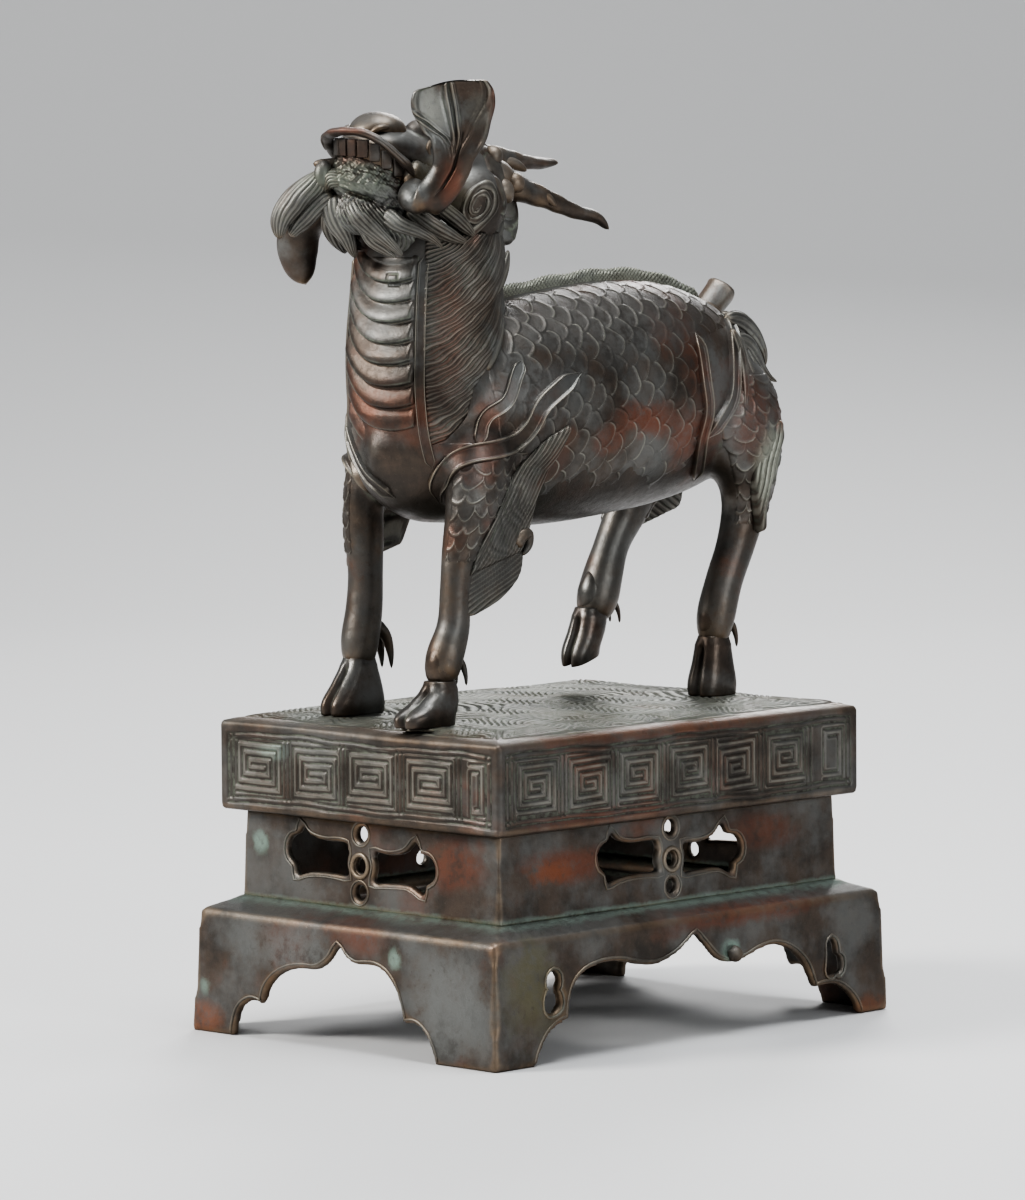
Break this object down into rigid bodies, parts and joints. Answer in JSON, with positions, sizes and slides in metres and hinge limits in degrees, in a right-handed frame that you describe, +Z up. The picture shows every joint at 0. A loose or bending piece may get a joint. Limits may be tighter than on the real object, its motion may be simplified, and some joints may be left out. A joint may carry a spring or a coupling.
{
  "type": "qilin figure",
  "caption": "Dragon-headed, cloven-hoofed beast with a scaled body, mane and open mouth, standing on a waisted stand with key-fret sides, cloud openings and cusped arches.",
  "frame": {"origin": "centre of the overall footprint, on the underside of the stand's four corner legs", "axes": "+Z up; the beast faces -Y and its left side is towards +X"},
  "size_m": [0.1188, 0.1636, 0.263],
  "materials": {
    "figure_bronze": "dark brown-black bronze patina, satin, with worn brassy edges and grey-green verdigris in the recesses",
    "stand_bronze": "brown bronze patina, satin, mottled red-brown, grey and pale green"
  },
  "bodies": {
    "root": {"qilin": "figure_bronze", "slab": "stand_bronze", "waist": "stand_bronze", "foot": "stand_bronze"}
  },
  "joints": []
}
